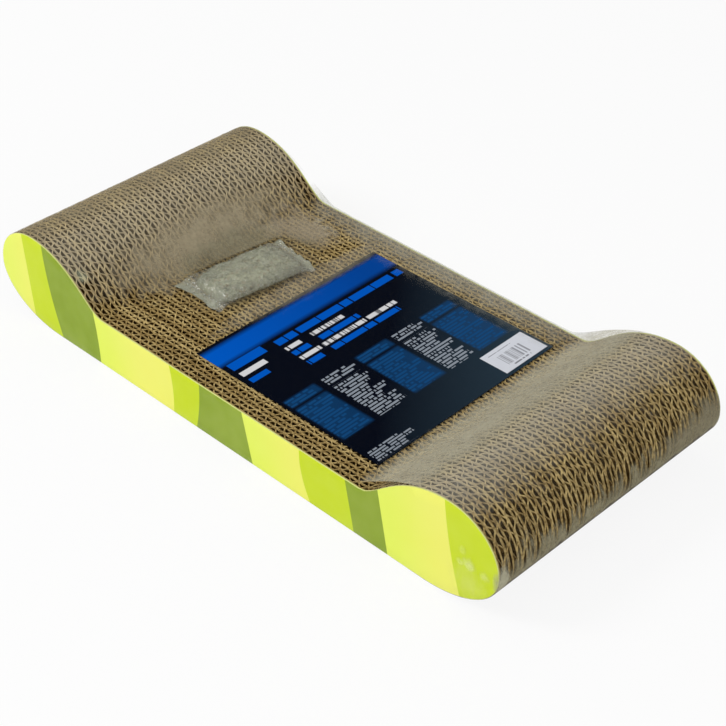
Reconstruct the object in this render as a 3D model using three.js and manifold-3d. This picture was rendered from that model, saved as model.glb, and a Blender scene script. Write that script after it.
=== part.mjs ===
// Cat scratcher lounge. Die-cut corrugated boards stand on edge and are glued face to face into a block
// with a low flat seat between two raised round ends. A printed panel closes each side, a card and a
// catnip sachet lie on the seat, and shrink film wraps it all.
// Millimetres. +X runs along the boards, +Z is up, and the origin is under the middle of the film.

import * as THREE from 'three';
import { mergeVertices } from 'three/addons/utils/BufferGeometryUtils.js';
import Module from 'manifold-3d';

const wasm = await Module();
wasm.setup();

// Outline of a board, measured from its tip and its flat foot
const boardLength = 465;
const footRun = 58; // tip to the start of the flat foot
const noseHeight = 35.7; // height of the tip
const crownRun = 38.4; // tip to the top of the raised end
const crownRise = 33.8; // top of the raised end above the seat
const slopeRun = 71.4; // top of the raised end to the flat seat
const seatHeight = 37.7;
const crownEase = 41.7; // how far the slope stays level at its top
const seatEase = 13.7; // how far it stays level at the seat

// The stack of boards and its side panels
const boardCount = 53;
const boardThickness = 3.75;
const glueLine = 0.2;
const panelThickness = 1;

// What lies on the seat
const contactGap = 0.3;
const cardThickness = 0.4;
const cardSideMargin = 20.7; // card to each side of the block
const cardEndMargin = 7.6; // card to the seat's right end
const cardTurn = 0.015; // radians
const stickerThickness = 0.12;
const stickerWidth = 23.5;
const stickerLength = 41.3;
const stickerMargin = 2.6; // sticker to the card's edges
const stickerLift = 0.1;
const sachetWidth = 50;
const sachetLength = 88;
const sachetHeight = 12;
const sachetTurn = -0.13; // radians
const sachetMargin = 6.4; // sachet to the card and to the seat's left end

// Shrink film
const filmThickness = 0.15;
const filmBridge = 12; // how much nearer the middle the film leaves the seat than the boards do
const filmSpread = 9; // how wide the film tents round the sachet
const seamGap = 0.3; // between the film's base sheet and the rest

const crownHeight = seatHeight + crownRise;
const crownHalf = boardLength / 2 - crownRun;
const footHalf = boardLength / 2 - footRun;
const seatHalf = crownHalf - slopeRun;
const blockWidth = boardCount * boardThickness + (boardCount - 1) * glueLine;
const panelOuter = blockWidth / 2 + glueLine + panelThickness;
const sachetSpan = sachetWidth * Math.cos(sachetTurn) + sachetLength * Math.abs(Math.sin(sachetTurn));
const cardLength = 2 * seatHalf - cardEndMargin - sachetSpan - 2 * sachetMargin;
const cardWidth = blockWidth - 2 * cardSideMargin;
const cardBottom = seatHeight + contactGap;
const cardTop = cardBottom + cardThickness;
const stickerBottom = cardTop + stickerLift;
const filmSeat = stickerBottom + stickerThickness + contactGap; // inside of the film over the card

const kraft = new THREE.MeshStandardMaterial({ name: 'kraft_board', color: 0x96865f, roughness: 0.9 });
const printed = new THREE.MeshStandardMaterial({ name: 'printed_lime', color: 0xcfe04a, roughness: 0.45 });
const darkCard = new THREE.MeshStandardMaterial({ name: 'dark_card', color: 0x14213a, roughness: 0.35 });
const whitePaper = new THREE.MeshStandardMaterial({ name: 'white_paper', color: 0xe8e8ee, roughness: 0.5 });
const herb = new THREE.MeshStandardMaterial({ name: 'dried_herb', color: 0x7f8267, roughness: 0.6 });
const clearFilm = new THREE.MeshStandardMaterial({
  name: 'clear_film', color: 0xf2f4f4, roughness: 0.08, transparent: true, opacity: 0.2,
});

// One side of the outline, from the flat foot round the tip and over the raised end to the seat. It is
// grown outwards by grow, and its slope meets the seat nearer the middle by bridge and higher by lift.
function sideOutline(grow, bridge, lift) {
  const noseSteps = 8;
  const crownSteps = 9;
  const slopeSteps = 11;
  const points = [];
  for (let i = 0; i <= noseSteps; i++) {
    const angle = (i / noseSteps) * Math.PI / 2;
    points.push(new THREE.Vector2(
      footHalf + (footRun + grow) * Math.sin(angle),
      noseHeight - (noseHeight + grow) * Math.cos(angle),
    ));
  }
  for (let i = 1; i <= crownSteps; i++) {
    const angle = (i / crownSteps) * Math.PI / 2;
    points.push(new THREE.Vector2(
      crownHalf + (crownRun + grow) * Math.cos(angle),
      noseHeight + (crownHeight - noseHeight + grow) * Math.sin(angle),
    ));
  }
  const seatEnd = seatHalf - bridge;
  const slope = new THREE.CubicBezierCurve(
    new THREE.Vector2(crownHalf, crownHeight + grow),
    new THREE.Vector2(crownHalf - crownEase, crownHeight + grow),
    new THREE.Vector2(seatEnd + seatEase, seatHeight + lift),
    new THREE.Vector2(seatEnd, seatHeight + lift),
  );
  return points.concat(slope.getPoints(slopeSteps).slice(1));
}

// A plate of the whole outline, standing along X and Z, its thickness running from y = 0 towards -Y
function plate(depth, grow = 0, bridge = 0, lift = 0) {
  const side = sideOutline(grow, bridge, lift);
  const mirrored = side.map((point) => new THREE.Vector2(-point.x, point.y)).reverse();
  const outline = new THREE.Shape(side.concat(mirrored));
  const body = new THREE.ExtrudeGeometry(outline, { depth, bevelEnabled: false });
  body.rotateX(Math.PI / 2);
  return body;
}

// A filled bag: squared in plan, flat underneath and crowned on top
function pillow(width, length, height) {
  const squareness = 0.55;
  const crown = 1.2;
  const body = new THREE.SphereGeometry(1, 32, 16);
  body.rotateX(Math.PI / 2);
  const place = body.attributes.position;
  const squared = (value, power) => Math.sign(value) * Math.abs(value) ** power;
  for (let i = 0; i < place.count; i++) {
    const out = Math.hypot(place.getX(i), place.getY(i));
    const turn = Math.atan2(place.getY(i), place.getX(i));
    place.setXYZ(
      i,
      (width / 2) * out * squared(Math.cos(turn), squareness),
      (length / 2) * out * squared(Math.sin(turn), squareness),
      height * Math.max(place.getZ(i), 0) ** crown,
    );
  }
  return body;
}

function toSolid(geometry) {
  const bare = geometry.clone();
  bare.deleteAttribute('normal');
  bare.deleteAttribute('uv');
  const merged = mergeVertices(bare, 1e-4);
  return new wasm.Manifold(new wasm.Mesh({
    numProp: 3,
    vertProperties: new Float32Array(merged.attributes.position.array),
    triVerts: new Uint32Array(merged.index.array),
  }));
}

function toGeometry(solid) {
  const mesh = solid.getMesh();
  const geometry = new THREE.BufferGeometry();
  geometry.setAttribute('position', new THREE.BufferAttribute(new Float32Array(mesh.vertProperties), 3));
  geometry.setIndex(new THREE.BufferAttribute(new Uint32Array(mesh.triVerts), 1));
  geometry.computeVertexNormals();
  return geometry;
}

function addPiece(parent, name, geometry, material) {
  const piece = new THREE.Mesh(geometry, material);
  piece.name = name;
  parent.add(piece);
  return piece;
}

const lounge = new THREE.Group();

// Everything inside the film stands on the film's base sheet
const block = new THREE.Group();
block.position.z = filmThickness + contactGap;
lounge.add(block);

function addBoards() {
  const shape = plate(boardThickness);
  for (let i = 0; i < boardCount; i++) {
    const name = `board_${String(i + 1).padStart(2, '0')}`;
    const board = addPiece(block, name, shape, kraft);
    board.position.y = -blockWidth / 2 + i * (boardThickness + glueLine) + boardThickness;
  }
}

function addPanels() {
  const shape = plate(panelThickness);
  addPiece(block, 'front_panel', shape, printed).position.y = -panelOuter + panelThickness;
  addPiece(block, 'rear_panel', shape, printed).position.y = panelOuter;
}

// The card lies at the seat's right end, with the sticker on its rear right corner
function addCard() {
  const cardPlace = new THREE.Group();
  cardPlace.position.set(seatHalf - cardEndMargin - cardLength / 2, 0, 0);
  cardPlace.rotation.z = cardTurn;
  block.add(cardPlace);
  const card = addPiece(
    cardPlace, 'info_card', new THREE.BoxGeometry(cardLength, cardWidth, cardThickness), darkCard,
  );
  card.position.z = cardBottom + cardThickness / 2;
  const sticker = addPiece(
    cardPlace, 'card_sticker', new THREE.BoxGeometry(stickerWidth, stickerLength, stickerThickness), whitePaper,
  );
  sticker.position.set(
    cardLength / 2 - stickerMargin - stickerWidth / 2,
    cardWidth / 2 - stickerMargin - stickerLength / 2,
    stickerBottom + stickerThickness / 2,
  );
}

// The sachet lies on what the card leaves free of the seat
const sachetX = -seatHalf + sachetMargin + sachetSpan / 2;

function addSachet() {
  const sachet = addPiece(block, 'catnip_sachet', pillow(sachetWidth, sachetLength, sachetHeight), herb);
  sachet.position.set(sachetX, 0, seatHeight + contactGap);
  sachet.rotation.z = sachetTurn;
}

// All that the film holds, out to its inner face grown by grow
function filmFilling(grow) {
  const reach = contactGap + grow;
  const halfWidth = panelOuter + reach;
  const wrapped = plate(2 * halfWidth, reach, filmBridge, filmSeat - seatHeight + grow);
  wrapped.translate(0, halfWidth, 0);
  const tent = pillow(
    sachetWidth + 2 * (filmSpread + grow),
    sachetLength + 2 * (filmSpread + grow),
    sachetHeight + contactGap + reach,
  );
  tent.rotateZ(sachetTurn);
  tent.translate(sachetX, 0, seatHeight);
  return toSolid(wrapped).add(toSolid(tent));
}

// The base sheet lies flat under the block, and the wrap is the rest of the film above its seam
function addFilm() {
  const halfWidth = panelOuter + contactGap + filmThickness;
  const base = addPiece(
    block, 'film_base', new THREE.BoxGeometry(2 * footHalf, 2 * halfWidth, filmThickness), clearFilm,
  );
  base.position.z = -contactGap - filmThickness / 2;
  const opening = new THREE.BoxGeometry(
    2 * (footHalf + seamGap), 2 * (halfWidth + seamGap), 2 * (filmThickness + seamGap),
  );
  opening.translate(0, 0, -contactGap - filmThickness);
  const wrap = filmFilling(filmThickness).subtract(filmFilling(0)).subtract(toSolid(opening));
  addPiece(block, 'film_wrap', toGeometry(wrap), clearFilm);
}

addBoards();
addPanels();
addCard();
addSachet();
addFilm();

export default lounge;
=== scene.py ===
# Finishes and fine pieces for the cat scratcher lounge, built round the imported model.
# Metres. +X runs along the boards and +Z is up, as in the model.

import math

import bpy
import numpy as np
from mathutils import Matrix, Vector, noise


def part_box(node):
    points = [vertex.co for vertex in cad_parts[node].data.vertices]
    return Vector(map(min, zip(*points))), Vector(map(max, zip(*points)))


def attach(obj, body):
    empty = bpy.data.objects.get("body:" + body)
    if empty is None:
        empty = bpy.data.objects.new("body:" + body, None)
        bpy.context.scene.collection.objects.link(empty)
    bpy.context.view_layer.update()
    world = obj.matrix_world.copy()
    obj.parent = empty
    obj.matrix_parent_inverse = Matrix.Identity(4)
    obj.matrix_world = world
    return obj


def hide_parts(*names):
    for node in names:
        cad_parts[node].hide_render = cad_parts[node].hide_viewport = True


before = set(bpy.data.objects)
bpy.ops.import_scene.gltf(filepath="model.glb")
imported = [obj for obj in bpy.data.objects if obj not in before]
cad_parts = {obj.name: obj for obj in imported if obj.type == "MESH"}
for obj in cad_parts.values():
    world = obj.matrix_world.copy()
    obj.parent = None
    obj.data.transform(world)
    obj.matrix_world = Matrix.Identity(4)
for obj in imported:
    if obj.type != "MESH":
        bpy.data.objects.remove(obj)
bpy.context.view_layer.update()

mm = 0.001
boardNames = sorted(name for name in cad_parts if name.startswith("board_"))
boardLow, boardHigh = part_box(boardNames[0])
foot = boardLow.z
tipX = boardHigh.x

# The outline of a board, beside the length and height that its node gives
outline = {
    "footRun": 58 * mm,  # tip to the flat foot
    "noseHeight": 35.7 * mm,
    "crownRun": 38.4 * mm,  # tip to the top of the raised end
    "slopeRun": 71.4 * mm,  # top of the raised end to the seat
    "seatHeight": 37.7 * mm,
    "crownEase": 41.7 * mm,
    "seatEase": 13.7 * mm,
    "endZone": 14 * mm,  # where the points crowd towards the tip
    "endPoints": 26,
    "slopeSteps": 80,
    "arcSteps": 90,
}
crownHeight = boardHigh.z - foot
crownHalf = tipX - outline["crownRun"]
footHalf = tipX - outline["footRun"]
seatHalf = crownHalf - outline["slopeRun"]
seatTop = foot + outline["seatHeight"]


# Shared bits of geometry

def upperLine(grow=0.0, bridge=0.0, lift=0.0):
    # x and z of the top outline from tip to tip, grown outwards, its slopes meeting the seat nearer the
    # middle by bridge and higher by lift
    seat = outline["seatHeight"] + lift
    seatEnd = seatHalf - bridge
    t = np.linspace(0, 1, outline["slopeSteps"])[:, None]
    a, b, c, d = (np.array(p) for p in (
        (seatEnd, seat), (seatEnd + outline["seatEase"], seat),
        (crownHalf - outline["crownEase"], crownHeight + grow), (crownHalf, crownHeight + grow),
    ))
    slope = a * (1 - t) ** 3 + 3 * b * t * (1 - t) ** 2 + 3 * c * t ** 2 * (1 - t) + d * t ** 3
    turn = np.linspace(0, math.pi / 2, outline["arcSteps"])[1:]
    rise = crownHeight - outline["noseHeight"] + grow
    crown = np.stack([
        crownHalf + (outline["crownRun"] + grow) * np.sin(turn),
        outline["noseHeight"] + rise * np.cos(turn),
    ], 1)
    half = np.concatenate([slope, crown])
    x = np.concatenate([-half[::-1, 0], half[:, 0]])
    z = np.concatenate([half[::-1, 1], half[:, 1]]) + foot
    return x, z


def lowerLine(grow=0.0):
    # the same for the underside
    turn = np.linspace(0, math.pi / 2, outline["arcSteps"])
    x = footHalf + (outline["footRun"] + grow) * np.sin(turn)
    z = outline["noseHeight"] - (outline["noseHeight"] + grow) * np.cos(turn) + foot
    return np.concatenate([-x[::-1], x]), np.concatenate([z[::-1], z])


def alongBoard(step, reach):
    # x from tip to tip in even steps, closer together near the tips where the outline stands up
    inner = reach - outline["endZone"]
    even = np.linspace(-inner, inner, int(2 * inner / step))
    close = outline["endZone"] * (1 - np.linspace(0, 1, outline["endPoints"])[1:]) ** 2
    return np.concatenate([(-reach + close)[::-1], even, reach - close])


def addMesh(name, points, faces, materials, faceMaterial=None, sharp=32):
    mesh = bpy.data.meshes.new(name)
    mesh.from_pydata(np.asarray(points, float).tolist(), [], faces)
    for material in materials:
        mesh.materials.append(material)
    if faceMaterial is not None:
        mesh.polygons.foreach_set("material_index", faceMaterial)
    mesh.polygons.foreach_set("use_smooth", [True] * len(mesh.polygons))
    mesh.set_sharp_from_angle(angle=math.radians(sharp))
    mesh.update()
    piece = bpy.data.objects.new(name, mesh)
    bpy.context.scene.collection.objects.link(piece)
    return piece


def quads(index):
    # a face between every four neighbours in a grid of point numbers
    corners = [index[:-1, :-1], index[1:, :-1], index[1:, 1:], index[:-1, 1:]]
    return np.stack(corners, -1).reshape(-1, 4).tolist()


def gridFaces(rows, columns):
    return quads(np.arange(rows * columns).reshape(rows, columns))


def ringFaces(rings, around):
    index = np.arange(rings * around).reshape(rings, around)
    return quads(np.concatenate([index, index[:, :1]], 1))


def sheetBody(upper, lower):
    # points and faces of a closed sheet between two grids of points
    rows, columns = upper.shape[:2]
    count = rows * columns
    faces = gridFaces(rows, columns)
    faces += [[i + count for i in face[::-1]] for face in faces]
    index = np.arange(count).reshape(rows, columns)
    rim = np.concatenate([index[:-1, 0], index[-1, :-1], index[:0:-1, -1], index[0, :0:-1]])
    for a, b in zip(rim.tolist(), np.roll(rim, -1).tolist()):
        faces.append([b, a, a + count, b + count])
    return np.concatenate([upper.reshape(-1, 3), lower.reshape(-1, 3)]), faces


def sideFaces(points, upper, lower, rows, turned):
    # fills a flat side between an upper and a lower line of points, given as indices, with rows of faces
    lines = [upper[1:-1]]
    for part in np.linspace(0, 1, rows + 1)[1:-1]:
        start = len(points)
        inner = points[upper[1:-1]] * (1 - part) + points[lower[1:-1]] * part
        points = np.concatenate([points, inner])
        lines.append(np.arange(start, start + len(inner)))
    lines.append(lower[1:-1])
    index = np.stack(lines)
    faces = quads(index)
    faces.append([int(upper[0]), int(lower[0])] + index[::-1, 0].tolist())
    faces.append([int(lower[-1]), int(upper[-1])] + index[:, -1].tolist())
    return points, [face[::-1] for face in faces] if turned else faces


def closeSides(points, rings, count, rows):
    # fills the flat sides within the first and last ring, which run out along the top and back underneath
    faces = []
    for ring, turned in ((0, False), (rings - 1, True)):
        start = ring * 2 * count
        upper = np.arange(start, start + count)
        lower = np.arange(start + 2 * count - 1, start + count - 1, -1)
        points, filled = sideFaces(points, upper, lower, rows, turned)
        faces += filled
    return points, faces


def ripple(x, y, size, seed):
    # smooth noise of about one unit, for arrays of x and y
    flat = zip(np.ravel(x) / size, np.ravel(y) / size)
    return np.array([noise.noise(Vector((u, v, seed))) for u, v in flat]).reshape(np.shape(x))


# Shared bits of shading

def paint(red, green, blue):
    # a colour in screen values, turned into the shader's own scale
    def lift(value):
        value = value / 255
        return value / 12.92 if value <= 0.04045 else ((value + 0.055) / 1.055) ** 2.4
    return (lift(red), lift(green), lift(blue), 1.0)


def startMaterial(name, roughness):
    material = bpy.data.materials.new(name)
    material.use_nodes = True
    shader = material.node_tree.nodes["Principled BSDF"]
    shader.inputs["Roughness"].default_value = roughness
    return material, material.node_tree, shader


def feed(tree, socket, value):
    if isinstance(value, bpy.types.NodeSocket):
        tree.links.new(value, socket)
    else:
        socket.default_value = value


def addNode(tree, kind, **values):
    # a shader node with its named inputs fed
    node = tree.nodes.new("ShaderNode" + kind)
    for key, value in values.items():
        feed(tree, node.inputs[key], value)
    return node


def maths(tree, operation, first, second=0.0, third=None):
    node = addNode(tree, "Math")
    node.operation = operation
    feed(tree, node.inputs[0], first)
    feed(tree, node.inputs[1], second)
    if third is not None:
        feed(tree, node.inputs[2], third)
    return node.outputs[0]


def times(tree, first, second):
    return maths(tree, "MULTIPLY", first, second)


def ramp(tree, value, low, high, toLow=0.0, toHigh=1.0, smooth=False):
    node = addNode(tree, "MapRange", Value=value)
    if smooth:
        node.interpolation_type = "SMOOTHSTEP"
    for key, number in (("From Min", low), ("From Max", high), ("To Min", toLow), ("To Max", toHigh)):
        feed(tree, node.inputs[key], number)
    return node.outputs["Result"]


def blendColour(tree, share, first, second):
    node = addNode(tree, "Mix", Factor=share)
    node.data_type = "RGBA"
    feed(tree, node.inputs[6], first)  # 6, 7 and output 2 are the ones for colours
    feed(tree, node.inputs[7], second)
    return node.outputs[2]


def blendShaders(tree, share, first, second):
    node = addNode(tree, "MixShader")
    for socket, value in zip(node.inputs, (share, first.outputs[0], second.outputs[0])):
        feed(tree, socket, value)
    return node


def places(tree, scale=(1, 1, 1)):
    here = addNode(tree, "TexCoord").outputs["Object"]
    return addNode(tree, "Mapping", Vector=here, Scale=scale).outputs["Vector"]


def axes(tree, vector=None):
    # the x, y and z of a vector, or of the place that is shaded
    return addNode(tree, "SeparateXYZ", Vector=vector or places(tree)).outputs


def grain(tree, size, detail=3.0, scale=(1, 1, 1)):
    # noise with features of about that size in metres
    where = places(tree, scale)
    node = addNode(tree, "TexNoise", Vector=where, Scale=1 / size, Detail=detail, Roughness=0.6)
    return node.outputs["Fac"]


def dress(tree, shader, colour, height, depth, strength):
    # gives a shader its colour and a bump of that depth
    bump = addNode(tree, "Bump", Height=height, Distance=depth, Strength=strength)
    tree.links.new(bump.outputs["Normal"], shader.inputs["Normal"])
    tree.links.new(colour, shader.inputs["Base Color"])


# Camera, at the photograph's angle

camera = {
    "yaw": 44.6,
    "pitch": 36.88,
    "distance": 1.1599,
    "target": (21.65 * mm, 0, 21.95 * mm),
    "focalPixels": 1737.6,
    "imagePixels": 726,
    "farthest": 50,
}


def addCamera():
    yaw, pitch = math.radians(camera["yaw"]), math.radians(camera["pitch"])
    forward = Vector((-math.sin(yaw) * math.cos(pitch), math.cos(yaw) * math.cos(pitch), -math.sin(pitch)))
    data = bpy.data.cameras.new("studio_camera")
    data.lens = data.sensor_width * camera["focalPixels"] / camera["imagePixels"]
    data.clip_end = camera["farthest"]
    stand = bpy.data.objects.new("studio_camera", data)
    bpy.context.scene.collection.objects.link(stand)
    stand.location = Vector(camera["target"]) - forward * camera["distance"]
    stand.rotation_euler = forward.to_track_quat("-Z", "Y").to_euler()
    bpy.context.scene.camera = stand


addCamera()
print("camera placed")


# Corrugated boards: two liners and a wavy medium, its flutes standing upright

corrugation = {
    "liner": 0.45 * mm,
    "medium": 0.4 * mm,
    "burr": 0.24 * mm,  # how far the sawn rims spread on each side
    "burrDepth": 0.5 * mm,
    "pitch": 8.05 * mm,  # from flute to flute
    "pitchSpread": 0.04,
    "flatness": 1.25,  # how flat the wave runs along the liners
    "wideAndNarrow": 0.22 * mm,  # how far joints between boards are off, to either side in turn
    "seam": 0.07 * mm,  # gap between glued boards
    "waver": 0.45 * mm,  # how far the rows wander sideways
    "unevenTop": 0.2 * mm,
    "roughCut": 0.32 * mm,
    "crushDepth": 1.4 * mm,
    "crush": 0.45 * mm,
    "stepsPerFlute": 12,
    "linerStep": 2.2 * mm,
    "linerShort": 0.05 * mm,  # how far liner and medium end before the tip
    "mediumShort": 0.3 * mm,
    "seed": 11,
    # where the slopes' paler tone comes and goes, from the middle
    "paleFrom": (130 * mm, 158 * mm),
    "paleTo": (180 * mm, 212 * mm),
    "pale": paint(234, 224, 198),
}


def kraftMaterial(name, light, dark, edge, shine, fluff=0.0):
    # fluff is how much of a paler tone the slopes take
    material, tree, shader = startMaterial(name, 0.88)
    tone = addNode(tree, "Attribute")
    tone.attribute_name = "tone"
    fibres = grain(tree, 0.5 * mm, 4.0, (1, 1, 0.3))
    patches = grain(tree, 14 * mm, 3.0)
    share = maths(tree, "MULTIPLY_ADD", fibres, 0.7, times(tree, patches, 0.5))
    share = maths(tree, "MULTIPLY_ADD", tone.outputs["Fac"], 0.2, share)
    paper = blendColour(tree, ramp(tree, share, 0.35, 0.85), dark, light)
    mottle = ramp(tree, grain(tree, 2.2 * mm, 3.0), 0.4, 0.58, 0.7, 0)
    paper = blendColour(tree, mottle, paper, edge)
    flecks = ramp(tree, grain(tree, 1.1 * mm, 2.0), 0.58, 0.68, 0, 0.6)
    paper = blendColour(tree, flecks, paper, light)
    away = maths(tree, "ABSOLUTE", axes(tree)["X"])
    climb = ramp(tree, away, *corrugation["paleFrom"], 0, fluff)
    slope = times(tree, climb, ramp(tree, away, *corrugation["paleTo"][::-1]))
    paper = blendColour(tree, slope, paper, corrugation["pale"])
    shader.inputs["Specular IOR Level"].default_value = shine
    dress(tree, shader, paper, fibres, 0.06 * mm, 0.8)
    return material


def waverOf(x, y):
    # a slow sideways drift that dies out at the flat side panels
    width = boardLow.y
    fade = 1 - np.minimum(np.abs(y / width), 1) ** 6
    drift = 0.6 * np.sin(x / (19 * mm) + y * 28) + 0.4 * np.sin(x / (7.7 * mm) - y * 75 + 1.3)
    return corrugation["waver"] * fade * drift


def wall(near, far, low, high, lean, burrNear, burrFar):
    # points and faces of an upright sheet between two faces, each given as x and y, with sawn rims
    floor, top = low(near[0]), high(near[0])
    depth = np.minimum(corrugation["crushDepth"], 0.3 * (top - floor))
    burrBase = top - np.minimum(corrugation["burrDepth"], 0.2 * (top - floor))
    rings = []
    for side, burr in ((near, burrNear), (far, burrFar)):
        x, y = side
        ring = [
            np.stack([x + burr[0], y + burr[1], floor], 1),
            np.stack([x, y, top - depth], 1),
            np.stack([x + burr[0] * 0.5, y + burr[1] * 0.5 + lean * 0.7, burrBase], 1),
            np.stack([x + burr[0], y + burr[1] + lean, top], 1),
        ]
        rings += ring if side is near else ring[::-1]
    count = len(top)
    ringKinds = [0, 0, 1, 1, 1, 0, 0, 1]  # 0 for the sheet and 1 for its cut edges
    around = len(ringKinds)
    faces = ringFaces(count, around)
    faces += [list(range(around)), list(range(around * count - 1, around * (count - 1) - 1, -1))]
    kinds = ringKinds * (count - 1) + [1, 1]
    return np.stack(rings, 1).reshape(-1, 3), faces, kinds


def boardEdges():
    # y of the joints between boards, shifted so that wide and narrow boards take turns
    centres = [(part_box(name)[0].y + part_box(name)[1].y) / 2 for name in boardNames]
    pitch = centres[1] - centres[0]
    joints = [centres[0] - pitch / 2] + [y + pitch / 2 for y in centres]
    shift = corrugation["wideAndNarrow"]
    return [
        y + (0 if i in (0, len(joints) - 1) else shift * (-1) ** i) for i, y in enumerate(joints)
    ]


def addBoard(name, nearEdge, farEdge, materials, rng):
    upperX, upperZ = upperLine()
    lowerX, lowerZ = lowerLine()
    sink = rng.uniform(-1, 0.4) * corrugation["unevenTop"]
    slide = rng.uniform(-1, 1) * corrugation["unevenTop"]
    near, far = nearEdge + corrugation["seam"] / 2, farEdge - corrugation["seam"] / 2
    liner, medium = corrugation["liner"], corrugation["medium"]

    def low(x):
        return np.interp(x - slide, lowerX, lowerZ)

    def high(x):
        rough = rng.uniform(-1, 0.3, len(x)) * corrugation["roughCut"]
        return np.maximum(np.interp(x - slide, upperX, upperZ) + sink + rough, low(x) + 0.05 * mm)

    parts = []
    x = alongBoard(corrugation["linerStep"], tipX - corrugation["linerShort"]) + slide
    lean = corrugation["crush"] * 0.3 * ripple(x, x * 0 + near, 6 * mm, 3.0)
    burr = corrugation["burr"] * (0.9 + 1.1 * ripple(x, x * 0 + far, 3 * mm, 12.0))
    none = x * 0
    for first, second, burrs in (
        (near, near + liner, ((none, none), (none, burr))),
        (far - liner, far, ((none, -burr), (none, none))),
    ):
        parts.append(wall(
            (x, first + waverOf(x, first)), (x, second + waverOf(x, second)), low, high, lean, *burrs,
        ))

    pitch = corrugation["pitch"] * (1 + rng.uniform(-1, 1) * corrugation["pitchSpread"])
    x = alongBoard(pitch / corrugation["stepsPerFlute"], tipX - corrugation["mediumShort"]) + slide
    middle, room = (near + far) / 2, (far - near) / 2 - liner - medium / 2
    drift = rng.uniform(0, 2 * math.pi) + 0.7 * ripple(x, x * 0 + middle, 40 * mm, 7.0)
    angle = 2 * math.pi * x / pitch + drift
    wave = room * np.tanh(corrugation["flatness"] * np.sin(angle)) / math.tanh(corrugation["flatness"])
    y = middle + waverOf(x, middle) + wave
    slope = np.gradient(y, x)
    size = np.sqrt(1 + slope ** 2)
    outX, outY = slope / size, -1 / size
    lean = corrugation["crush"] * ripple(x, x * 0 + middle, 3 * mm, 5.0) * np.cos(angle) ** 2
    half = medium / 2
    burr = corrugation["burr"] * (1 + 1.2 * ripple(x, x * 0 + middle, 2.4 * mm, 14.0))
    parts.append(wall(
        (x + half * outX, y + half * outY), (x - half * outX, y - half * outY), low, high, lean,
        (burr * outX, burr * outY), (-burr * outX, -burr * outY),
    ))

    points, faces, kinds = [], [], []
    for partPoints, partFaces, partKinds in parts:
        start = sum(len(p) for p in points)
        points.append(partPoints)
        faces += [[start + i for i in face] for face in partFaces]
        kinds += partKinds
    pieceName = name.replace("board", "corrugated_board")
    piece = addMesh(pieceName, np.concatenate(points), faces, materials, kinds)
    tone = piece.data.attributes.new("tone", "FLOAT", "POINT")
    tone.data.foreach_set("value", [rng.uniform(-1, 1)] * len(piece.data.vertices))
    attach(piece, "root")
    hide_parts(name)


def addBoards():
    # painted shade: the sheet inside the flutes is coloured a near-black brown, darker than the kraft
    # itself, for the shade deep in them
    sheet = kraftMaterial("kraft_sheet_painted_shade", paint(92, 68, 28), paint(60, 42, 12), paint(38, 26, 6), 0.03)
    # the rims on the slopes are cut askew, so more of their pale inside shows
    cut = kraftMaterial(
        "kraft_cut_edge", paint(204, 180, 122), paint(154, 129, 79), paint(96, 74, 36), 0.08, fluff=0.36,
    )
    rng = np.random.default_rng(corrugation["seed"])
    edges = boardEdges()
    for i, name in enumerate(boardNames):
        addBoard(name, edges[i], edges[i + 1], [sheet, cut], rng)


addBoards()
print("boards made:", len(boardNames))


# Side panels: printed sheets with slanted stripes

panel = {
    "step": 5 * mm,
    "rows": 8,
    "roughness": 0.42,
    "shine": 0.12,
    "yellowing": 55 * mm,  # length over which a pale stripe turns from green to yellow
    "edgeRound": 0.15 * mm,
    "blend": 0.12 * mm,  # width of the change from one stripe to the next
    # colour, x at the foot, lean, and bend of each stripe's left edge, from left to right
    "stripes": [
        ("pale", -240 * mm, 0, 0),
        ("lime", -200 * mm, -0.08, 0),
        ("olive", -169 * mm, -0.35, 2.2),
        ("pale", -127 * mm, 0, -2.1),
        ("lime", -50 * mm, 0.12, -4.4),
        ("olive", -27 * mm, 0.265, -3.5),
        ("pale", 27 * mm, -0.225, 0),
        ("lime", 80 * mm, -0.535, 7.7),
        ("olive", 118 * mm, -0.2, 0),
        ("pale", 146.5 * mm, -0.19, 0),
        ("lime", 206 * mm, -0.34, 1.7),
    ],
    "lime": paint(196, 214, 24),
    "olive": paint(132, 155, 38),
    "paleGreen": paint(224, 238, 92),
    "paleYellow": paint(236, 235, 108),
}


def printMaterial(name, facing):
    material, tree, shader = startMaterial(name, panel["roughness"])
    place = axes(tree)
    x = times(tree, place["X"], facing)
    z = maths(tree, "SUBTRACT", place["Z"], foot)
    colour = panel["paleGreen"]
    for shade, start, lean, bend in panel["stripes"]:
        edge = maths(tree, "MULTIPLY_ADD", z, maths(tree, "MULTIPLY_ADD", z, bend, lean), start)
        past = maths(tree, "SUBTRACT", x, edge)
        ink = panel.get(shade)
        if not ink:
            yellowing = ramp(tree, past, 0, panel["yellowing"], smooth=True)
            ink = blendColour(tree, yellowing, panel["paleGreen"], panel["paleYellow"])
        colour = blendColour(tree, ramp(tree, past, -panel["blend"], panel["blend"]), colour, ink)
    cloud = grain(tree, 30 * mm, 2.0)
    colour = blendColour(tree, ramp(tree, cloud, 0.3, 0.8, 0, 0.12), colour, paint(236, 246, 150))
    scuffs = ramp(tree, grain(tree, 2.4 * mm, 4.0, (1, 1, 3)), 0.7, 0.76, 0, 0.25)
    colour = blendColour(tree, scuffs, colour, paint(238, 244, 190))
    shader.inputs["Specular IOR Level"].default_value = panel["shine"]
    # the flutes behind press through as faint ridges
    turns = times(tree, place["X"], 2 * math.pi / corrugation["pitch"])
    ridges = maths(tree, "SINE", turns)
    height = maths(tree, "MULTIPLY_ADD", ridges, 0.25, grain(tree, 5 * mm, 3.0))
    dress(tree, shader, colour, height, 0.06 * mm, 0.6)
    return material


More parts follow.
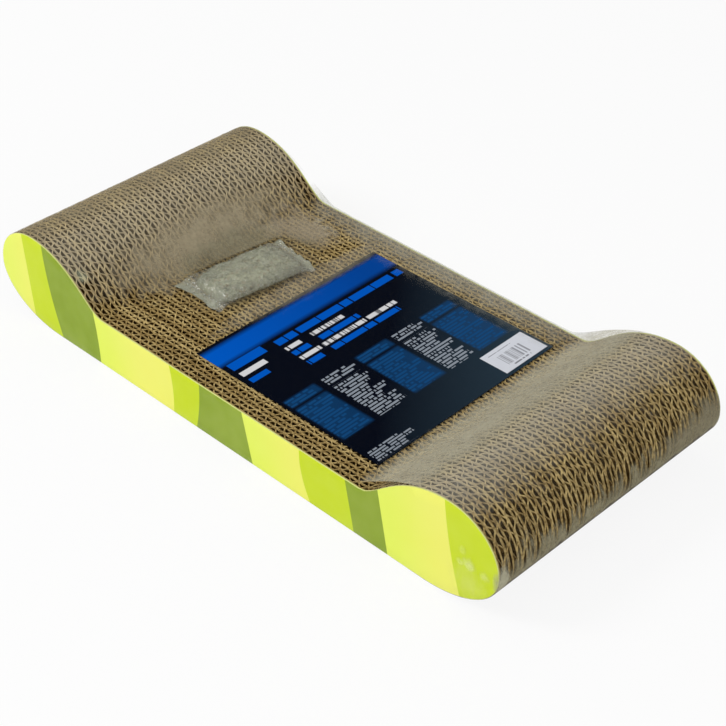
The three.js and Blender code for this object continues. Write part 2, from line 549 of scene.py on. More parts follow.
def edgeMaterial():
    material, tree, shader = startMaterial("printed_panel_cut_edge", 0.8)
    fibres = grain(tree, 0.4 * mm, 3.0)
    paper = blendColour(tree, fibres, paint(200, 208, 112), paint(226, 228, 150))
    dress(tree, shader, paper, fibres, 0.05 * mm, 0.7)
    return material


def addPanel(node, name, facing, edge):
    low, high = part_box(node)
    upperX, upperZ = upperLine()
    lowerX, lowerZ = lowerLine()
    x = alongBoard(panel["step"], tipX)
    x[0], x[-1] = -tipX, tipX
    top, bottom = np.interp(x, upperX, upperZ), np.interp(x, lowerX, lowerZ)
    inset = panel["edgeRound"]
    rounds = []
    for y, shrink in (
        (low.y, inset), (low.y + inset * 0.3, inset * 0.3), (low.y + inset, 0),
        (high.y - inset, 0), (high.y - inset * 0.3, inset * 0.3), (high.y, inset),
    ):
        middle = (top + bottom) / 2
        half = np.maximum((top - bottom) / 2 - shrink, 0.1 * mm)
        xs = x * (1 - shrink / tipX)
        rounds.append(np.concatenate([
            np.stack([xs, xs * 0 + y, middle + half], 1),
            np.stack([xs, xs * 0 + y, middle - half], 1)[::-1],
        ]))
    count = len(x)
    faces = [face[::-1] for face in ringFaces(len(rounds), 2 * count)]
    points, sides = closeSides(np.concatenate(rounds), len(rounds), count, panel["rows"])
    kinds = [1] * len(faces) + [0] * len(sides)
    piece = addMesh(name, points, faces + sides, [printMaterial(name + "_print", facing), edge], kinds)
    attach(piece, "root")
    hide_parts(node)


def addPanels():
    edge = edgeMaterial()
    addPanel("front_panel", "striped_panel_front", 1, edge)
    addPanel("rear_panel", "striped_panel_rear", -1, edge)


addPanels()
print("panels made")


# Card on the seat, printed with plain bands, bars and rows of marks

card = {
    "turn": 0.015,
    "cells": 48,
    "curl": 0.08 * mm,
    "roughness": 0.4,
    "shine": 0.004,
    "ink": paint(7, 11, 22),
    "paintedSheenSlate": paint(42, 58, 70),
    "brightBlue": paint(0, 88, 194),
    "lineBlue": paint(0, 86, 190),
    "dullBlue": paint(20, 74, 126),
    "white": paint(214, 214, 216),
    "grey": paint(140, 148, 158),
    # x and y ranges in millimetres from the card's middle
    "band": (-77.5, -60, -90, 90),
    "blueBars": [(-55, -48.5, -40.5, 80), (-38, -33, -40.5, 21), (-24, -19, -40.5, 46)],
    "whiteBars": [(-44.5, -40.5, -40.5, 13), (-30.5, -26.5, -40.5, 50)],
    "cornerBars": [(-58, -50, -80, -50), (-46, -41, -80, -58), (-37, -32, -80, -64)],
    "blueBlocks": [(47, 76), (-16, 13.5), (-81, -54)],
    "greyBlocks": [(18, 45), (-48, -20)],
    "columns": [(-3.5, 5), (7.5, 50)],
    "footBlock": (69, 80.5, -81, -41),
    # from row to row and from mark to mark, in millimetres
    "blueMarks": (2.9, 2.1),
    "greyMarks": (2.9, 1.3),
    "footMarks": (2.3, 1.1),
}


def turnedSize(node, turn):
    # middle and true sides of a flat box that was turned about Z
    low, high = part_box(node)
    wide, deep = high.x - low.x, high.y - low.y
    c, s = math.cos(turn), abs(math.sin(turn))
    length = (wide * c - deep * s) / (c * c - s * s)
    width = (deep * c - wide * s) / (c * c - s * s)
    return (low + high) / 2, length, width, low.z, high.z


def addLayFlat(name, node, curl, cells, material):
    # a thin sheet lying flat, its map in metres from its middle
    turn = card["turn"]
    middle, length, width, bottom, top = turnedSize(node, turn)
    share = np.linspace(-0.5, 0.5, cells)
    u, v = np.meshgrid(share * length, share * width, indexing="ij")
    x = middle.x + u * math.cos(turn) - v * math.sin(turn)
    y = middle.y + u * math.sin(turn) + v * math.cos(turn)
    wave = curl * ripple(x, y, 45 * mm, 2.5)
    points, faces = sheetBody(
        np.stack([x, y, top + np.minimum(wave, 0)], -1), np.stack([x, y, x * 0 + bottom], -1),
    )
    piece = addMesh(name, points, faces, [material])
    sheetMap = piece.data.uv_layers.new(name="print")
    flat = np.tile(np.stack([u, v], -1).reshape(-1, 2), (2, 1))
    loops = np.zeros(len(piece.data.loops), int)
    piece.data.loops.foreach_get("vertex_index", loops)
    sheetMap.data.foreach_set("uv", flat[loops].ravel())
    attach(piece, "root")
    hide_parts(node)


def printPlaces(tree):
    # x and y on a sheet in millimetres from its middle
    source = addNode(tree, "UVMap")
    source.uv_map = "print"
    place = axes(tree, source.outputs[0])
    return maths(tree, "DIVIDE", place["X"], mm), maths(tree, "DIVIDE", place["Y"], mm)


def inside(tree, x, y, area, soft=0.15):
    # 1 within an area given as x range and y range
    x0, x1, y0, y1 = area
    awayX = maths(tree, "ABSOLUTE", maths(tree, "SUBTRACT", x, (x0 + x1) / 2))
    awayY = maths(tree, "ABSOLUTE", maths(tree, "SUBTRACT", y, (y0 + y1) / 2))
    inX = ramp(tree, awayX, (x1 - x0) / 2 - soft, (x1 - x0) / 2 + soft, 1, 0)
    inY = ramp(tree, awayY, (y1 - y0) / 2 - soft, (y1 - y0) / 2 + soft, 1, 0)
    return times(tree, inX, inY)


def scatter(tree, first, second):
    # a random value for each pair of whole numbers
    join = addNode(tree, "CombineXYZ", X=first, Y=second)
    node = addNode(tree, "TexWhiteNoise", Vector=join.outputs[0])
    node.noise_dimensions = "2D"
    return node.outputs["Value"]


def rowsOfMarks(tree, x, y, area, pitch, cell):
    # rows of plain short dashes, a fifth of them missing, and some rows shorter than others
    row = maths(tree, "FLOOR", maths(tree, "DIVIDE", x, pitch))
    along = maths(tree, "FLOOR", maths(tree, "DIVIDE", y, cell))
    inRow = maths(tree, "LESS_THAN", maths(tree, "FRACT", maths(tree, "DIVIDE", x, pitch)), 0.6)
    dash = maths(tree, "GREATER_THAN", scatter(tree, row, along), 0.2)
    end = maths(tree, "MULTIPLY_ADD", scatter(tree, row, 0.5), -0.35 * (area[3] - area[2]), area[3])
    short = maths(tree, "LESS_THAN", y, end)
    mask = times(tree, times(tree, inRow, dash), short)
    return times(tree, mask, inside(tree, x, y, area))


def brokenBar(tree, x, y, area, seed):
    # a thick bar cut into uneven lengths of about 17 mm
    wander = maths(tree, "SINE", maths(tree, "MULTIPLY_ADD", y, 0.23, seed))
    place = maths(tree, "MULTIPLY_ADD", wander, 4.5, maths(tree, "ADD", y, seed * 3))
    gap = ramp(tree, maths(tree, "FRACT", maths(tree, "DIVIDE", place, 17)), 0.1, 0.13)
    return times(tree, gap, inside(tree, x, y, area, 0.3))


def cardMaterial():
    material, tree, shader = startMaterial("printed_dark_card", card["roughness"])
    x, y = printPlaces(tree)
    # painted sheen: the ink turns to a lighter slate towards the corner at +x and +y
    cornerward = maths(tree, "MULTIPLY_ADD", y, 0.8, x)
    colour = blendColour(tree, ramp(tree, cornerward, 10, 130), card["ink"], card["paintedSheenSlate"])
    fade = ramp(tree, y, -85, 60, 1, 0.55)
    band = times(tree, fade, inside(tree, x, y, card["band"], 2.5))
    colour = blendColour(tree, band, colour, card["brightBlue"])
    for i, area in enumerate(card["blueBars"]):
        colour = blendColour(tree, brokenBar(tree, x, y, area, i + 0.4), colour, card["lineBlue"])
    cell = maths(tree, "FLOOR", maths(tree, "DIVIDE", y, 0.9))
    strokes = ramp(tree, scatter(tree, cell, 7), 0.25, 0.3, 0.25, 1)
    for i, area in enumerate(card["whiteBars"]):
        bar = times(tree, brokenBar(tree, x, y, area, i + 2.1), strokes)
        colour = blendColour(tree, bar, colour, card["white"])
    for i, area in enumerate(card["cornerBars"]):
        ink = card["white"] if i == 1 else card["lineBlue"]
        colour = blendColour(tree, inside(tree, x, y, area), colour, ink)
    for low, high in card["blueBlocks"]:
        for column in card["columns"]:
            thin = rowsOfMarks(tree, x, y, (*column, low, high), *card["blueMarks"])
            soft = times(tree, inside(tree, x, y, (*column, low, high), 1.2), 0.5)
            share = maths(tree, "MULTIPLY_ADD", thin, 0.4, soft)
            colour = blendColour(tree, share, colour, card["dullBlue"])
    for low, high in card["greyBlocks"]:
        for column in card["columns"]:
            marks = rowsOfMarks(tree, x, y, (*column, low, high), *card["greyMarks"])
            colour = blendColour(tree, marks, colour, card["grey"])
    marks = rowsOfMarks(tree, x, y, card["footBlock"], *card["footMarks"])
    colour = blendColour(tree, marks, colour, card["grey"])
    shader.inputs["Specular IOR Level"].default_value = card["shine"]
    dress(tree, shader, colour, grain(tree, 14 * mm, 2.0), 0.1 * mm, 0.3)
    return material


sticker = {
    "cells": 12,
    "paper": paint(216, 219, 226),
    "grey": paint(112, 114, 122),
    # x and y ranges in millimetres from the sticker's middle
    "bars": (-4.5, 6.5, -13, 12),
    "headLine": (-8.5, -6.8, -16, 14),
    "footLine": (8, 9.2, -10, 8),
    "lineMarks": (20, 1.0),
    "finest": 0.55,  # width of the thinnest bar
}


def stickerMaterial():
    material, tree, shader = startMaterial("white_sticker_paper", 0.5)
    x, y = printPlaces(tree)
    strip = scatter(tree, maths(tree, "FLOOR", maths(tree, "DIVIDE", y, sticker["finest"])), 3)
    strip = maths(tree, "GREATER_THAN", strip, 0.5)
    bars = times(tree, strip, inside(tree, x, y, sticker["bars"]))
    colour = blendColour(tree, grain(tree, 6 * mm), sticker["paper"], paint(206, 209, 218))
    colour = blendColour(tree, times(tree, bars, 0.8), colour, sticker["grey"])
    for area in (sticker["headLine"], sticker["footLine"]):
        marks = rowsOfMarks(tree, x, y, area, *sticker["lineMarks"])
        colour = blendColour(tree, marks, colour, sticker["grey"])
    dress(tree, shader, colour, grain(tree, 1.2 * mm), 0.03 * mm, 0.4)
    return material


addLayFlat("dark_header_card", "info_card", card["curl"], card["cells"], cardMaterial())
addLayFlat("blank_sticker", "card_sticker", 0.0, sticker["cells"], stickerMaterial())
print("card and sticker made")


# Thin clear plastic, for the pouch and the shrink film

def clearMaterial(name, gloss, veil, height, creaseDepth):
    # see-through, with a reflection that grows at a slant, and milky by the share and colour that veil
    # gives, which for the shrink film also carry painted sheen, glints and shade
    material = bpy.data.materials.new(name)
    material.use_nodes = True
    tree = material.node_tree
    tree.nodes.clear()
    bump = addNode(tree, "Bump", Height=height(tree), Distance=creaseDepth).outputs["Normal"]
    share, colour = veil(tree)
    clear = addNode(tree, "BsdfTransparent")
    shiny = addNode(tree, "BsdfGlossy", Roughness=gloss["roughness"], Normal=bump)
    milk = addNode(tree, "BsdfDiffuse", Color=colour, Normal=bump)
    slant = addNode(tree, "LayerWeight", Blend=0.5)  # its Facing is alike on both walls of the film
    slanting = ramp(tree, slant.outputs["Facing"], gloss["slantFrom"], 1)
    grazing = maths(tree, "POWER", slanting, gloss["slantPower"])
    mirror = maths(tree, "MULTIPLY_ADD", grazing, gloss["grazing"], gloss["headOn"])
    veiled = blendShaders(tree, share, blendShaders(tree, mirror, clear, shiny), milk)
    addNode(tree, "OutputMaterial", Surface=veiled.outputs[0])
    return material


# Catnip sachet: chopped herb in a clear pouch with flat seals

sachet = {
    "turn": -0.13,
    "width": 50 * mm,
    "length": 88 * mm,
    "herbWidth": 46 * mm,
    "herbLength": 74 * mm,
    "herbHeight": 6.1 * mm,
    "herbRim": 2.5 * mm,  # how high the filling's edge hangs
    "sideFold": 3.3 * mm,  # how high the folded long edges stand
    "sealHeight": 0.5 * mm,
    "farCrumple": 3.6 * mm,  # how far the seals stand up
    "nearCrumple": 1.3 * mm,
    "lumps": 2.1 * mm,
    "crinkle": 1.6 * mm,
    "nudge": (-2.2 * mm, -1 * mm),  # of the filling and the pouch within their place
    "narrower": 3.2 * mm,  # the edge by the card is drawn in
    "flare": 6.5 * mm,  # the near corner by the seat's end is drawn out
    "underside": (0.72, 0.8),  # of the filling, as shares of its plan
    "pillow": (0.95, 0.84),  # swollen part of the pouch, as shares of its plan
    "folds": 6 * mm,
    "ceiling": 11.8 * mm,  # how high the film lets the pouch stand
    "flakes": 1100,
    "seed": 5,
    "gloss": {"roughness": 0.12, "headOn": 0.09, "grazing": 0.45, "slantFrom": 0, "slantPower": 5},
}
squareness = 3.6  # how squarish the sachet is in plan


def sachetPlace(u, v, z):
    low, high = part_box("catnip_sachet")
    middle = (low + high) / 2
    c, s = math.cos(sachet["turn"]), math.sin(sachet["turn"])
    u, v = u + sachet["nudge"][0], v + sachet["nudge"][1]
    return np.stack([middle.x + u * c - v * s, middle.y + u * s + v * c, low.z + z], -1)


def squared(value):
    # a sine or cosine bent so that a circle becomes the sachet's plan
    return np.sign(value) * np.abs(value) ** (2 / squareness)


def mound(u, v, width, length, power=0.6):
    # 1 at the middle of a squarish mound and 0 at its rim
    out = (np.abs(2 * u / width) ** squareness + np.abs(2 * v / length) ** squareness) ** (1 / squareness)
    return np.maximum(1 - out ** 2, 0) ** power


def pouchPlan(u, v):
    # the outline drawn in unevenly by the filling, its seals a little wavy
    side, end = 2 * u / sachet["width"], 2 * v / sachet["length"]
    waist = 0.06 * np.maximum(1 - end ** 2, 0) + 0.05 * np.abs(ripple(v, u * 0, 13 * mm, 31.0))
    wavy = 0.03 * (1 + ripple(u, v * 0, 12 * mm, 33.0)) + 0.04 * np.abs(side) ** 5
    spread = sachet["flare"] * np.clip(-side, 0, 1) ** 2 * np.clip(-end, 0, 1) ** 6
    drawn = sachet["narrower"] * np.clip(side, 0, 1) ** 3
    planU = u * (1 - waist * np.abs(side)) - drawn + 0.2 * spread
    return planU, v * (1 - wavy * np.abs(end) ** 3) - spread


def herbHeight(u, v):
    lumps = ripple(u, v, 11 * mm, 1.5) + 0.45 * ripple(u, v, 4 * mm, 9.5)
    full = mound(u, v, sachet["herbWidth"], sachet["herbLength"], 0.45)
    return sachet["herbHeight"] * full + sachet["lumps"] * lumps * np.minimum(full * 2, 1)


def herbMaterial():
    material, tree, shader = startMaterial("dried_catnip", 0.8)
    bits = addNode(tree, "TexVoronoi", Vector=places(tree), Scale=1 / (2.2 * mm))
    pick = addNode(tree, "SeparateColor", Color=bits.outputs["Color"])
    green = blendColour(tree, pick.outputs[0], paint(88, 96, 66), paint(190, 194, 160))
    colour = blendColour(tree, ramp(tree, pick.outputs[1], 0.8, 0.9), green, paint(150, 132, 96))
    dust = ramp(tree, grain(tree, 0.6 * mm), 0.3, 0.7, 0.1, 0.5)
    colour = blendColour(tree, dust, colour, paint(200, 202, 178))
    # painted shade: the herb is darkened towards its underside, for the shade under the pouch's edge
    deep = ramp(tree, axes(tree)["Z"], seatTop + 2 * mm, seatTop + 9 * mm, 0.75, 0)
    colour = blendColour(tree, deep, colour, paint(44, 44, 28))
    height = maths(tree, "ADD", bits.outputs["Distance"], grain(tree, 0.7 * mm))
    dress(tree, shader, colour, height, 0.35 * mm, 0.8)
    return material


def addHerb():
    rng = np.random.default_rng(sachet["seed"])
    rings, around = 22, 72
    turn = np.linspace(0, 2 * math.pi, around, endpoint=False)
    reach = np.linspace(1, 0.02, rings)[:, None]
    u = sachet["herbWidth"] / 2 * reach * squared(np.cos(turn))
    v = sachet["herbLength"] / 2 * reach * squared(np.sin(turn))
    rim = sachet["herbRim"]
    planU, planV = pouchPlan(u, v)
    top = sachetPlace(planU, planV, rim + herbHeight(u, v))
    shareU, shareV = sachet["underside"]
    under = sachetPlace(planU[:1] * shareU, planV[:1] * shareV, u[:1] * 0 + 0.6 * mm)
    points = np.concatenate([under.reshape(-1, 3), top.reshape(-1, 3)])
    faces = [face[::-1] for face in ringFaces(rings + 1, around)]
    faces += [list(range(around - 1, -1, -1)), list(range(rings * around, (rings + 1) * around))]
    chips = []
    for _ in range(sachet["flakes"]):
        a, r = rng.uniform(0, 2 * math.pi), math.sqrt(rng.uniform(0, 0.9))
        cu = sachet["herbWidth"] / 2 * r * squared(math.cos(a))
        cv = sachet["herbLength"] / 2 * r * squared(math.sin(a))
        height = float(herbHeight(np.array([cu]), np.array([cv]))[0]) + rim + rng.uniform(-0.4, 0.4) * mm
        centre = sachetPlace(*pouchPlan(np.array(cu), np.array(cv)), np.array(height))
        long, wide = rng.uniform(0.8, 2.2) * mm, rng.uniform(0.4, 1.0) * mm
        spin, tip = rng.uniform(0, 2 * math.pi), rng.uniform(-0.5, 0.5)
        along = np.array([math.cos(spin) * math.cos(tip), math.sin(spin) * math.cos(tip), math.sin(tip)])
        across = np.array([-math.sin(spin), math.cos(spin), rng.uniform(-0.4, 0.4)])
        up = np.cross(along, across) * 0.12 * mm
        leaf = [along * long, across * wide, -along * long * 0.8, -across * wide]
        start = len(points) + len(chips)
        chips += [centre + p + up for p in leaf] + [centre + p - up for p in leaf]
        faces += [[start + k for k in face] for face in (
            (0, 1, 2, 3), (7, 6, 5, 4), (4, 5, 1, 0), (5, 6, 2, 1), (6, 7, 3, 2), (7, 4, 0, 3),
        )]
    piece = addMesh("catnip_herb", np.concatenate([points, np.array(chips)]), faces, [herbMaterial()])
    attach(piece, "root")
    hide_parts("catnip_sachet")


def pouchHeights(u, v):
    # upper and lower height: a pillow with its long edges off the ground, folds gathering towards the seals
    side, end = np.abs(2 * u / sachet["width"]), np.abs(2 * v / sachet["length"])
    shareU, shareV = sachet["pillow"]
    body = mound(u, v, sachet["width"] * shareU, sachet["length"] * shareV)
    swell = np.clip((0.94 - end) / 0.18, 0, 1)
    swell = sachet["sideFold"] * swell * swell * (3 - 2 * swell)
    endward = np.clip(end * 2.2 - 1, 0, 1)
    folds = 0.7 - np.abs(ripple(u * 2.2, v * 0.35, 8 * mm, 4.0))
    folds = folds * sachet["folds"] * endward * body * (1 - body)
    rise = sachet["herbHeight"] + 1.2 * mm + 0.9 * sachet["lumps"] * ripple(u, v, 11 * mm, 1.5)
    crinkle = 0.25 - np.abs(ripple(u * 1.4, v, 8 * mm, 21.0))
    crinkle = crinkle * sachet["crinkle"] * np.minimum(body * 2, 1)
    farCrumple = sachet["farCrumple"] * (1 - u / sachet["width"])
    crumple = np.where(v > 0, farCrumple, sachet["nearCrumple"])
    crumple = crumple * np.clip((end - shareV) / (1 - shareV), 0, 1) * (1 - 0.6 * side ** 4)
    crumple = np.maximum(crumple * (0.55 + 1.1 * ripple(u, v * 0.4, 9 * mm, 6.0)), 0)
    upper = sachet["sealHeight"] + swell + rise * body + folds + crinkle + crumple
    under = 1 - np.sqrt(1 - np.clip((side - 0.55) / 0.45, 0, 1) ** 2)
    lower = 0.15 * mm + swell * under + crumple
    return np.minimum(upper, sachet["ceiling"]), lower


def addPouch():
    across, along = 64, 108
    u, v = np.meshgrid(
        np.linspace(-0.5, 0.5, across) * sachet["width"], np.linspace(-0.5, 0.5, along) * sachet["length"],
        indexing="ij",
    )
    upper, lower = pouchHeights(u, v)
    planU, planV = pouchPlan(u, v)
    points, faces = sheetBody(sachetPlace(planU, planV, upper), sachetPlace(planU, planV, lower))

    def creases(tree):
        wrinkle = maths(tree, "ABSOLUTE", maths(tree, "SUBTRACT", grain(tree, 7 * mm, 3.0), 0.5))
        return maths(tree, "MULTIPLY_ADD", wrinkle, 4, grain(tree, 3 * mm, 2.0))

    def milk(tree):
        # cloudier towards the seals at both ends
        low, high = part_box("catnip_sachet")
        turn = addNode(
            tree, "Mapping", Vector=places(tree), Location=(low + high) / 2, Rotation=(0, 0, sachet["turn"]),
        )
        turn.vector_type = "TEXTURE"
        place = axes(tree, turn.outputs["Vector"])
        ends = maths(tree, "ABSOLUTE", place["Y"])
        seal = ramp(tree, ends, sachet["length"] * 0.4, sachet["length"] * 0.46, 0, 0.2)
        share = maths(tree, "ADD", seal, ramp(tree, grain(tree, 13 * mm, 4.0), 0.38, 0.62, 0.03, 0.42))
        cardward = ramp(tree, place["X"], sachet["width"] * 0.28, sachet["width"] * 0.36, 1, 0.2)
        share = times(tree, share, cardward)
        return share, blendColour(tree, grain(tree, 5 * mm), paint(156, 160, 138), paint(206, 210, 192))

    clear = clearMaterial("clear_pouch", sachet["gloss"], milk, creases, 0.8 * mm)
    piece = addMesh("catnip_pouch", points, faces, [clear])
    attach(piece, "root")
    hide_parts("catnip_sachet")


addHerb()
addPouch()
print("sachet made")


# Shrink film round everything

film = {
    "bridge": 12 * mm,  # how much nearer the middle it leaves the seat than the boards do
    "seatLift": 1.37 * mm,
    "tentGap": 0.75 * mm,  # between the sachet's place and the film over it
    "tentTop": (0.34, 0.38),  # half size of the part that stays level, as shares of the sachet
    "skirt": 18.75 * mm,  # how far from the level part it comes down to the seat
    "blend": 2 * mm,
    "cornerRound": 0.8 * mm,
    "step": 2.6 * mm,
    "acrossRows": 84,
    "sideRows": 14,
    "slack": 0.1 * mm,
    "tipHeight": 0.3 * mm,  # half of the short upright edge at each tip
    "tensionLines": 0.5 * mm,  # height of the wrinkles that run across the feet of the slopes
    "tensionPlace": (12 * mm, 26 * mm),  # their middle past the seat's end, and their reach
    # no reflection below a steep slant, where it would be too faint to see
    "gloss": {"roughness": 0.14, "headOn": 0, "grazing": 0.14, "slantFrom": 0.62, "slantPower": 1.5},
    # where the film looks milky, partly a painted sheen over the crowns, the right valley and the tips, and
    # low on the tips a painted shade: middle and reach in millimetres, start of the fade, raggedness, share,
    # colour
    "topHazePaintedSheenAndShade": [
        ((-168, 0, 72), (60, 500, 22), 0.4, 0.5, 0.13, (180, 172, 150)),
        ((-140, 0, 48), (44, 104, 26), 0.2, 0.8, 0.72, (180, 168, 140)),
        ((-118, 28, 43), (18, 60, 14), 0.3, 0.8, 0.6, (186, 175, 148)),
        ((-104, 68, 42), (34, 26, 14), 0.3, 0.8, 0.5, (184, 172, 148)),
        ((-86, 5, 46), (56, 72, 16), 0.4, 0.5, 0.1, (160, 152, 126)),
        ((-54, 30, 40), (12, 110, 8), 0.5, 0.5, 0.2, (184, 178, 160)),
        ((0, 118, 38), (300, 46, 16), 0.2, 0.5, 0.36, (200, 198, 182)),
        ((-208, 0, 72), (34, 400, 22), 0.25, 0.5, 0.26, (172, 162, 136)),
        ((206, 0, 66), (60, 500, 46), 0.35, 0.5, 0.03, (168, 158, 130)),
        ((174, 0, 62), (52, 600, 60), 0.3, 0.6, 0.2, (194, 190, 176)),
        ((150, 0, 54), (34, 500, 60), 0.3, 0.5, 0.54, (198, 193, 170)),
        *(((x, 0, 4), (90, 900, 44), 0.58, 1.2, 0.84, (162, 155, 127)) for x in (230, -230)),
        ((232, 100, 24), (50, 90, 34), 0.5, 0.9, 0.78, (162, 155, 127)),
        ((232, 78, 42), (30, 46, 12), 0.3, 0.9, 0.24, (156, 148, 122)),
        # painted shade: a dark band low on both tips, where their undersides turn away from the light
        *(((x, 0, 0), (90, 900, 31), 0.66, 0.5, 0.74, (112, 105, 94)) for x in (230, -230)),
    ],
    "sideHazeAndPaintedGlints": [
        # the first, the second and the fourth to seventh are painted glints on the front panel; the third
        # and the last pair are milky film over the right tip's corner and along the back
        ((-151, -99, 56), (10, 9, 7), 0.2, 0.8, 0.36, (220, 226, 194)),
        ((212, -106, 20), (18, 5, 20), 0.1, 1.2, 0.2, (248, 250, 150)),
        ((232, -103, 34), (5, 8, 13), 0.3, 0.6, 0.42, (196, 192, 166)),
        ((204, -106, 33), (4, 4, 4), 0, 0.8, 0.36, (244, 250, 150)),
        ((211, -106, 35), (7, 4, 6), 0, 1.2, 0.55, (246, 251, 168)),
        ((222, -106, 33), (5.5, 4, 4.5), 0, 1.2, 0.4, (244, 250, 150)),
        ((205.5, -106, 43), (3.4, 4, 4.4), 0, 0.8, 0.3, (244, 250, 140)),
        *(((x, 108, 42), (30, 6, 14), 0.25, 0.5, 0.3, (232, 234, 228)) for x in (118, -118)),
    ],
}


def filmTent(x, y):
    # height of the film over the sachet, falling straight to the seat all round
    low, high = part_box("catnip_sachet")
    middle = (low + high) / 2
    c, s = math.cos(sachet["turn"]), math.sin(sachet["turn"])
    u, v = (x - middle.x) * c + (y - middle.y) * s, -(x - middle.x) * s + (y - middle.y) * c
    shareU, shareV = film["tentTop"]
    away = np.hypot(
        np.maximum(np.abs(u) - sachet["width"] * shareU, 0),
        np.maximum(np.abs(v) - sachet["length"] * shareV, 0),
    )
    rise = high.z - low.z + film["tentGap"]
    return seatTop + rise - rise * away / film["skirt"]


def hazePatch(tree, centre, reach, start, ragged, edge):
    # 1 near centre and 0 beyond reach along each axis, both in millimetres, its rim broken up by edge
    scale = tuple(1 / (r * mm) for r in reach)
    shift = tuple(-c / r for c, r in zip(centre, reach))
    inReaches = addNode(tree, "Mapping", Vector=places(tree), Scale=scale, Location=shift).outputs["Vector"]
    length = addNode(tree, "VectorMath", Vector=inReaches)
    length.operation = "LENGTH"
    away = maths(tree, "MULTIPLY_ADD", edge, ragged, length.outputs["Value"])
    return ramp(tree, away, start, 1, 1, 0, smooth=True)


def filmMaterial():
    def creases(tree):
        soft = grain(tree, 34 * mm, 2.0)
        sharp = maths(tree, "ABSOLUTE", maths(tree, "SUBTRACT", grain(tree, 22 * mm, 2.0), 0.5))
        fine = grain(tree, 5 * mm, 3.0)
        return maths(tree, "MULTIPLY_ADD", sharp, 2, maths(tree, "MULTIPLY_ADD", fine, 0.12, soft))

    def milk(tree):
        speckle = ramp(tree, grain(tree, 2.6 * mm, 3.0), 0.35, 0.65, 0.75, 1)
        uneven = times(tree, ramp(tree, grain(tree, 15 * mm, 3.0), 0.35, 0.65, 0.7, 1), speckle)
        rim = maths(tree, "SUBTRACT", grain(tree, 7 * mm, 4.0, (1, 1, 0.35)), 0.5)
        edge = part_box("front_panel")[0].y
        onTop = ramp(tree, maths(tree, "ABSOLUTE", axes(tree)["Y"]), -edge - 0.6 * mm, -edge, 1, 0)
        share, colour = 0.0, paint(190, 182, 160)
        unevenTop = times(tree, uneven, onTop)
        # the patches hold milky film, painted sheen, painted glints and painted shade; each adds its share
        # and colour
        for group, where in (("topHazePaintedSheenAndShade", unevenTop), ("sideHazeAndPaintedGlints", uneven)):
            for centre, reach, start, ragged, most, tint in film[group]:
                patch = times(tree, hazePatch(tree, centre, reach, start, ragged, rim), where)
                share = maths(tree, "MAXIMUM", share, times(tree, patch, most))
                tinted = maths(tree, "MINIMUM", times(tree, patch, 4), 1)
                colour = blendColour(tree, tinted, colour, paint(*tint))
        return share, colour

    return clearMaterial("shrink_film_clear", film["gloss"], milk, creases, 0.12 * mm)


def addFilm():
    low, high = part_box("film_wrap")
    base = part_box("film_base")
    thickness = base[1].z - base[0].z
    grow = high.x - tipX
    upperX, upperZ = upperLine(grow, film["bridge"], film["seatLift"])
    lowerX, lowerZ = lowerLine(grow)
    x = alongBoard(film["step"], high.x)
    x[0], x[-1] = low.x, high.x
    top, bottom = np.interp(x, upperX, upperZ), np.interp(x, lowerX, lowerZ)
    bottom = np.maximum(bottom, base[0].z)
    top[[0, -1]] += film["tipHeight"]
    bottom[[0, -1]] -= film["tipHeight"]
    count = len(x)
    loopX = np.concatenate([x, x[::-1]])
    loopZ = np.concatenate([top, bottom[::-1]])
    runX, runZ = np.gradient(loopX), np.gradient(loopZ)
    size = np.maximum(np.hypot(runX, runZ), 1e-9)
    outX, outZ = -runZ / size, runX / size
    outX[0] = outX[-1] = -1
    outX[count - 1] = outX[count] = 1
    outZ[[0, -1, count - 1, count]] = 0
    corner = film["cornerRound"]
    steps = [(high.y - corner + corner * math.sin(a), corner * (1 - math.cos(a)))
             for a in np.radians([90, 60, 30, 0])]
    rows = [(-y, inset) for y, inset in steps]
    rows += [(y, 0) for y in np.linspace(-high.y + corner, high.y - corner, film["acrossRows"])[1:-1]]
    rows += [(y, inset) for y, inset in steps[::-1]]
    past, reach = film["tensionPlace"]
    rings = []
    for y, inset in rows:
        ringX, ringZ = loopX - outX * inset, loopZ - outZ * inset
        isTop = np.arange(2 * count) < count
        tent = filmTent(ringX, ringX * 0 + y)
        gap = np.where(isTop, tent - ringZ, -1)
        ringZ = ringZ + (gap + np.hypot(gap, film["blend"])) / 2 * isTop * (gap > -4 * film["blend"])
        slack = np.minimum(film["slack"] * (ripple(ringX, ringZ * 2 + y * 0.8, 22 * mm, 8.0) - 0.6), 0)
        across = np.exp(-((np.abs(ringX) - seatHalf - past) / reach) ** 2)
        slack += film["tensionLines"] * across * ripple(ringX * 0.16, ringX * 0 + y, 6 * mm, 2.0)
        slack = np.where(isTop & (ringZ > foot + 5 * mm), slack, 0)
        rings.append(np.stack([ringX + outX * slack, ringX * 0 + y, ringZ + outZ * slack], 1))
    faces = [face[::-1] for face in ringFaces(len(rings), 2 * count)]
    points, sides = closeSides(np.concatenate(rings), len(rings), count, film["sideRows"])
    piece = addMesh("shrink_film", points, faces + sides, [filmMaterial()], sharp=60)
    shell = piece.modifiers.new("film_thickness", "SOLIDIFY")
    shell.thickness = thickness
    shell.offset = -1
    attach(piece, "root")
    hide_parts("film_wrap", "film_base")


addFilm()
print("film made")


# Floor, backdrop and lamps

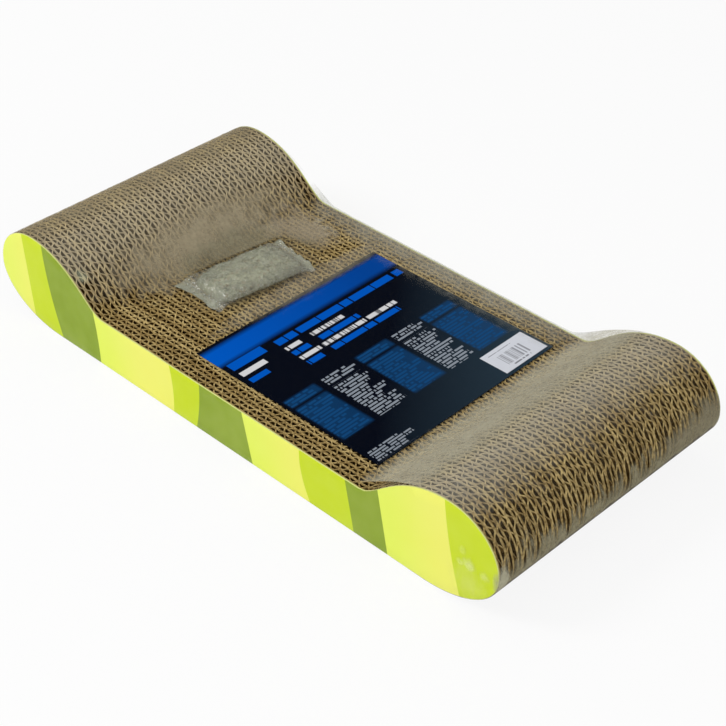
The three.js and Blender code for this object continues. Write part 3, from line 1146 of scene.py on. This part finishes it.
studio = {
    "floorSize": 6.0,
    "floorLevel": -0.2 * mm,
    "floorPaint": (0.86, 0.86, 0.86, 1),
    "floorGlow": 0.88,
    "lampAim": (0, 0, 30 * mm),
    "worldLevel": 0.5,
    "keyPlace": (-1.3, -1.5, 1.7),
    "keySize": 0.9,
    "keyPower": 33,
    "fillPlace": (1.9, -1.1, 1.2),
    "fillSize": 1.6,
    "fillPower": 16,
}


def seenDirectly(tree):
    # 1 for camera, glossy and see-through rays
    path = addNode(tree, "LightPath")
    first = maths(tree, "MAXIMUM", path.outputs["Is Camera Ray"], path.outputs["Is Glossy Ray"])
    return maths(tree, "MAXIMUM", first, path.outputs["Is Transmission Ray"])


def addFloor():
    material = bpy.data.materials.new("pale_floor")
    material.use_nodes = True
    tree = material.node_tree
    tree.nodes.clear()
    matt = addNode(tree, "BsdfDiffuse", Color=studio["floorPaint"])
    glow = addNode(tree, "Emission")
    mix = blendShaders(tree, times(tree, seenDirectly(tree), studio["floorGlow"]), matt, glow)
    addNode(tree, "OutputMaterial", Surface=mix.outputs[0])
    half, level = studio["floorSize"] / 2, studio["floorLevel"]
    corners = [(-half, -half, level), (half, -half, level), (half, half, level), (-half, half, level)]
    floor = addMesh("studio_floor", corners, [(0, 1, 2, 3)], [material])


def addWorld():
    world = bpy.data.worlds.new("studio_world")
    bpy.context.scene.world = world
    world.use_nodes = True
    tree = world.node_tree
    background = tree.nodes["Background"]
    background.inputs["Color"].default_value = (1, 1, 1, 1)
    strength = ramp(tree, seenDirectly(tree), 0, 1, studio["worldLevel"], 1)
    tree.links.new(strength, background.inputs["Strength"])


def addLamp(name, place, size, power):
    data = bpy.data.lights.new(name, "AREA")
    data.shape = "DISK"
    data.size = size
    data.energy = power
    lamp = bpy.data.objects.new(name, data)
    bpy.context.scene.collection.objects.link(lamp)
    lamp.location = place
    lamp.rotation_euler = (Vector(studio["lampAim"]) - Vector(place)).to_track_quat("-Z", "Y").to_euler()


addFloor()
addWorld()
addLamp("key_lamp", studio["keyPlace"], studio["keySize"], studio["keyPower"])
addLamp("fill_lamp", studio["fillPlace"], studio["fillSize"], studio["fillPower"])
bpy.context.scene.view_settings.view_transform = "Standard"
print("studio set")
